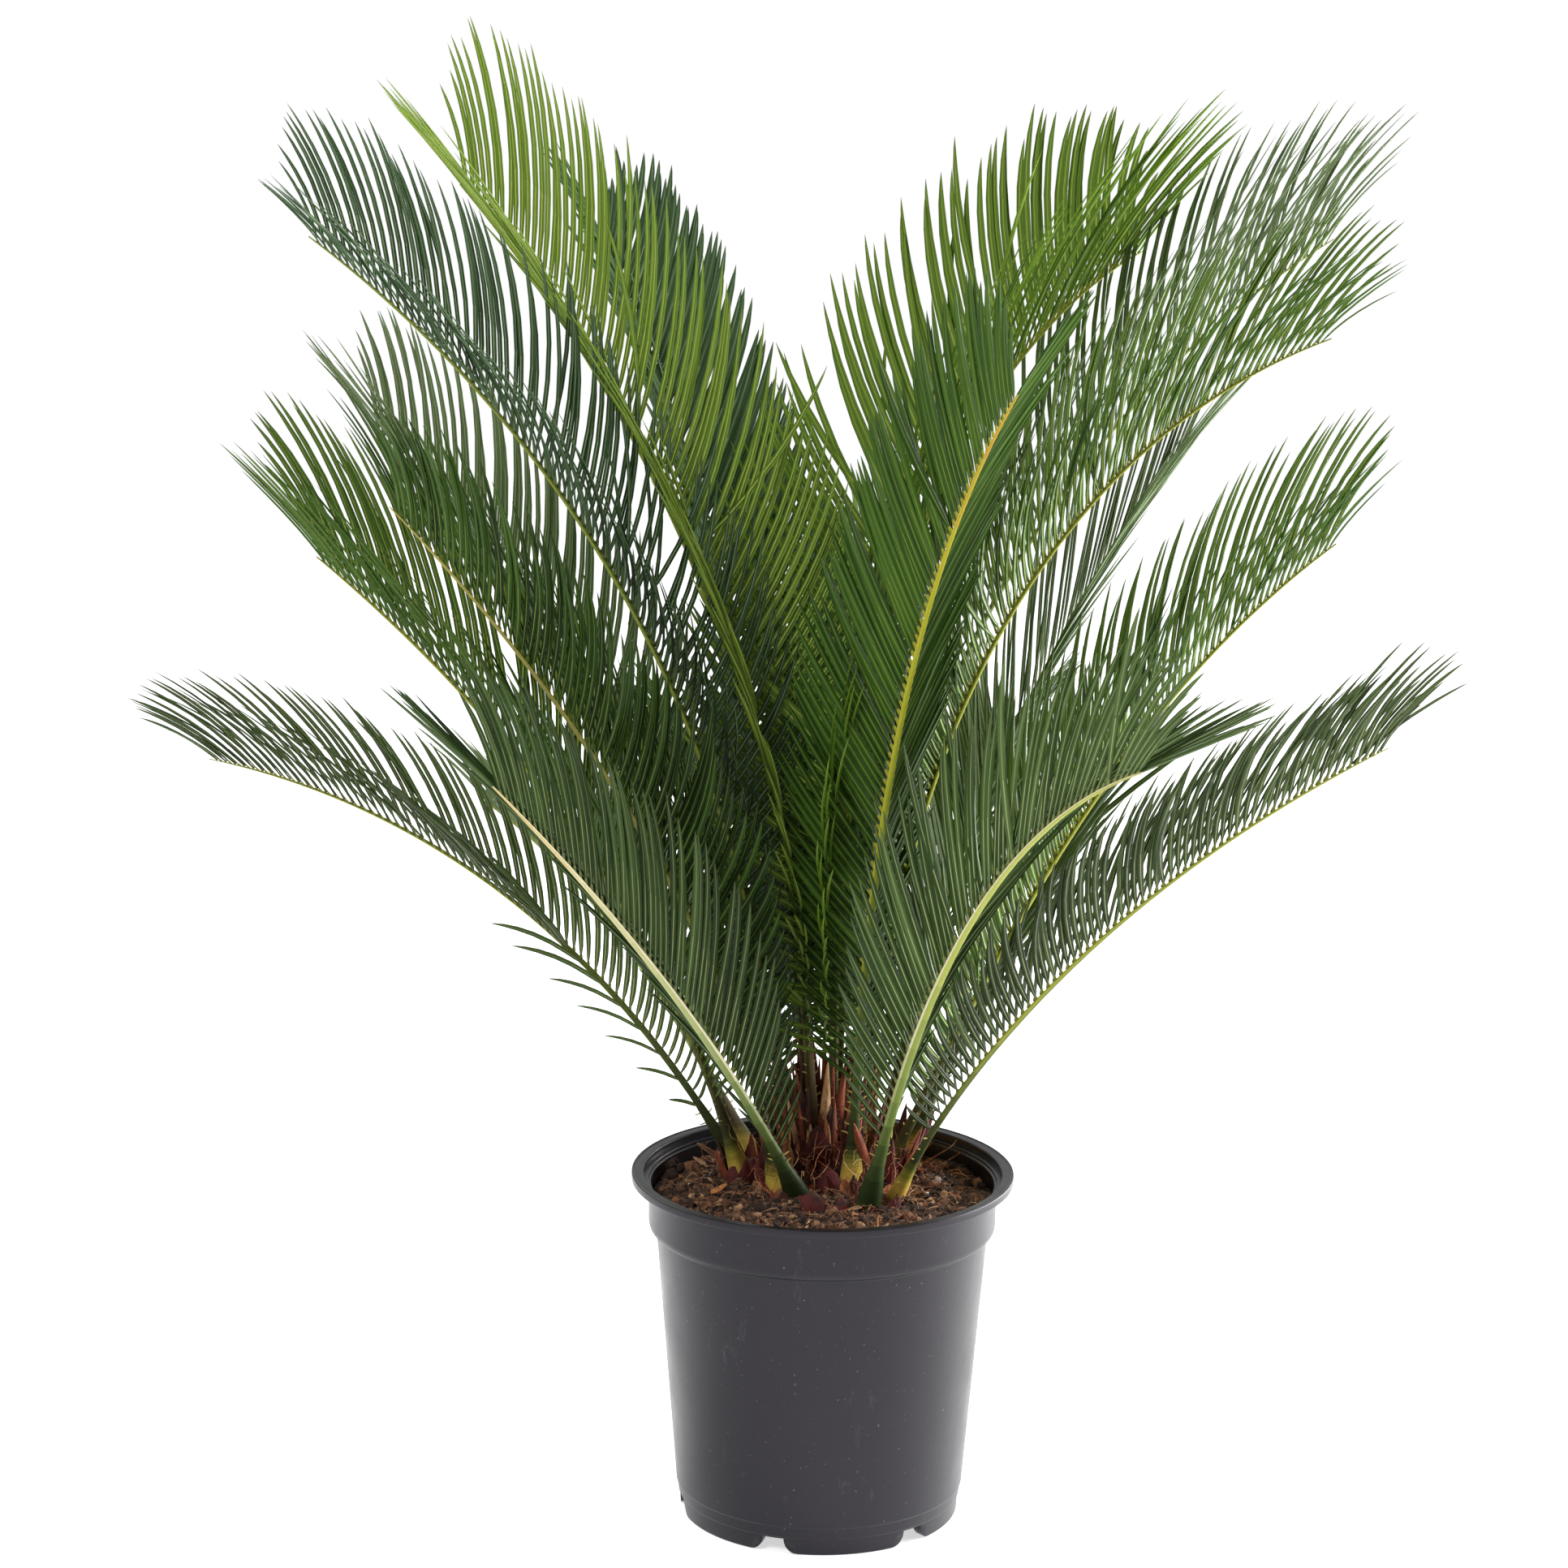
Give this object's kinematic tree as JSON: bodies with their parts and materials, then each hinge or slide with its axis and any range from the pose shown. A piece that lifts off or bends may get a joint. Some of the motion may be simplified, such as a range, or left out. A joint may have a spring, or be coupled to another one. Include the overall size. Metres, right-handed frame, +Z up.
{
  "type": "potted sago palm plant",
  "caption": "Sago palm with arching feather fronds on short clumped stems, rooted in soil in a round black nursery pot.",
  "frame": {"origin": "middle of the flat underside of the pot, on the ground", "axes": "+Z up along the pot's axis; -Y towards the front of the plant"},
  "size_m": [0.7928, 0.7642, 0.9223],
  "materials": {
    "pot": "satin moulded charcoal plastic",
    "soil": "coarse dark peat soil",
    "caudex": "rough scaly brown stem",
    "scale_leaf": "dry papery red-brown scales",
    "frond": "semi-gloss green leaflets on a pale green rib"
  },
  "bodies": {
    "root": {"pot": "pot", "potting_soil": "soil", "caudex": "caudex", "scale_leaf_01": "scale_leaf", "scale_leaf_02": "scale_leaf", "scale_leaf_03": "scale_leaf", "scale_leaf_04": "scale_leaf", "scale_leaf_05": "scale_leaf", "scale_leaf_06": "scale_leaf", "scale_leaf_07": "scale_leaf", "scale_leaf_08": "scale_leaf", "scale_leaf_09": "scale_leaf", "scale_leaf_10": "scale_leaf", "frond_left_1": "frond", "frond_left_2": "frond", "frond_left_3": "frond", "frond_left_4": "frond", "frond_left_5": "frond", "frond_left_6": "frond", "frond_left_7": "frond", "frond_left_8": "frond", "frond_left_9": "frond", "frond_right_1": "frond", "frond_right_2": "frond", "frond_right_3": "frond", "frond_right_4": "frond", "frond_right_5": "frond", "frond_right_6": "frond", "frond_right_7": "frond", "frond_right_8": "frond", "frond_right_9": "frond", "frond_back_1": "frond", "frond_back_2": "frond", "frond_back_3": "frond"}
  },
  "joints": []
}
